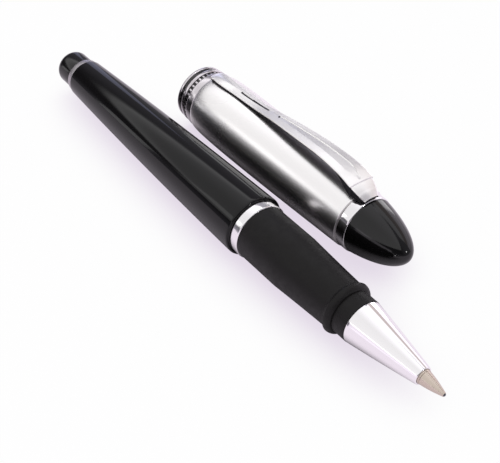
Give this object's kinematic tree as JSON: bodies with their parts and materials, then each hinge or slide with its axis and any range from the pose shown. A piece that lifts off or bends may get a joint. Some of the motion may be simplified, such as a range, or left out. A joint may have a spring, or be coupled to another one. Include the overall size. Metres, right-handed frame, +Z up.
{
  "type": "rollerball pen",
  "caption": "Rollerball pen lying with its cap off beside it: tapered black barrel, black grip, chrome nose cone, satin cap with sprung clip and bullet crown.",
  "frame": {"origin": "on the pen's axis, in the front face of the centre ring, where the cap's mouth stops when the cap is on", "axes": "+X along the pen's axis towards its writing tip, +Z up from the surface that the pen lies on, +Y towards the cap that lies beside it"},
  "size_m": [0.1197, 0.0304, 0.0172],
  "materials": {
    "black_lacquer": "gloss lacquer on brass",
    "thread_brass": "machined",
    "bright_chrome": "polished plating",
    "black_moulding": "polished moulding",
    "screw_steel": "machined",
    "spring_steel": "drawn wire",
    "soft_black": "satin moulding",
    "refill_plastic": "extruded, translucent white",
    "dark_plastic": "moulded",
    "ink_fibre": "bonded fibre soaked in black ink",
    "nickel_silver": "turned, fine machining lines",
    "carbide": "ground and polished",
    "satin_metal": "pearl satin plating",
    "black_enamel": "enamel"
  },
  "bodies": {
    "section": {"grip_section": "soft_black", "section_coupler": "thread_brass", "centre_ring": "bright_chrome", "nose_cone": "bright_chrome"},
    "barrel": {"barrel": "black_lacquer", "barrel_bush": "thread_brass", "tail_ring": "bright_chrome", "tail_finial": "black_moulding", "tail_screw": "screw_steel", "tail_spring": "spring_steel"},
    "refill": {"refill_tube": "refill_plastic", "refill_plug": "dark_plastic", "ink_reservoir": "ink_fibre", "ink_wick": "ink_fibre", "refill_holder": "dark_plastic", "refill_tip": "nickel_silver"},
    "ball": {"writing_ball": "carbide"},
    "cap": {"cap_tube": "satin_metal", "mouth_band": "bright_chrome", "band_inlay_rear": "black_enamel", "band_inlay_front": "black_enamel", "inner_cap": "dark_plastic", "crown_ring": "bright_chrome", "crown": "black_moulding", "crown_screw": "screw_steel", "clip_washer": "screw_steel"},
    "clip": {"clip": "bright_chrome"}
  },
  "joints": [
    {"name": "barrel_pull", "type": "slide", "parent": "section", "child": "barrel", "axis": [-1, 0, 0], "range_m": [0, 0.06]},
    {"name": "refill_float", "type": "slide", "parent": "section", "child": "refill", "axis": [-1, 0, 0], "range_m": [0, 0.0008], "stiffness_N_per_m": 300, "springref_m": -0.002, "deforming": ["tail_spring"]},
    {"name": "ball_roll", "type": "hinge", "parent": "refill", "child": "ball", "pos_m": [0.04823, 0, 0], "axis": [0, 1, 0], "continuous": true},
    {"name": "cap_pull", "type": "slide", "parent": "section", "child": "cap", "axis": [1, 0, 0], "range_m": [0, 0.096]},
    {"name": "clip_flex", "type": "hinge", "parent": "cap", "child": "clip", "pos_m": [0.00995, 0.01712, 0.00671], "axis": [0, 0.9986, -0.0523], "range_deg": [0, 3.5], "stiffness_Nm_per_rad": 3, "springref_deg": -0.57}
  ]
}
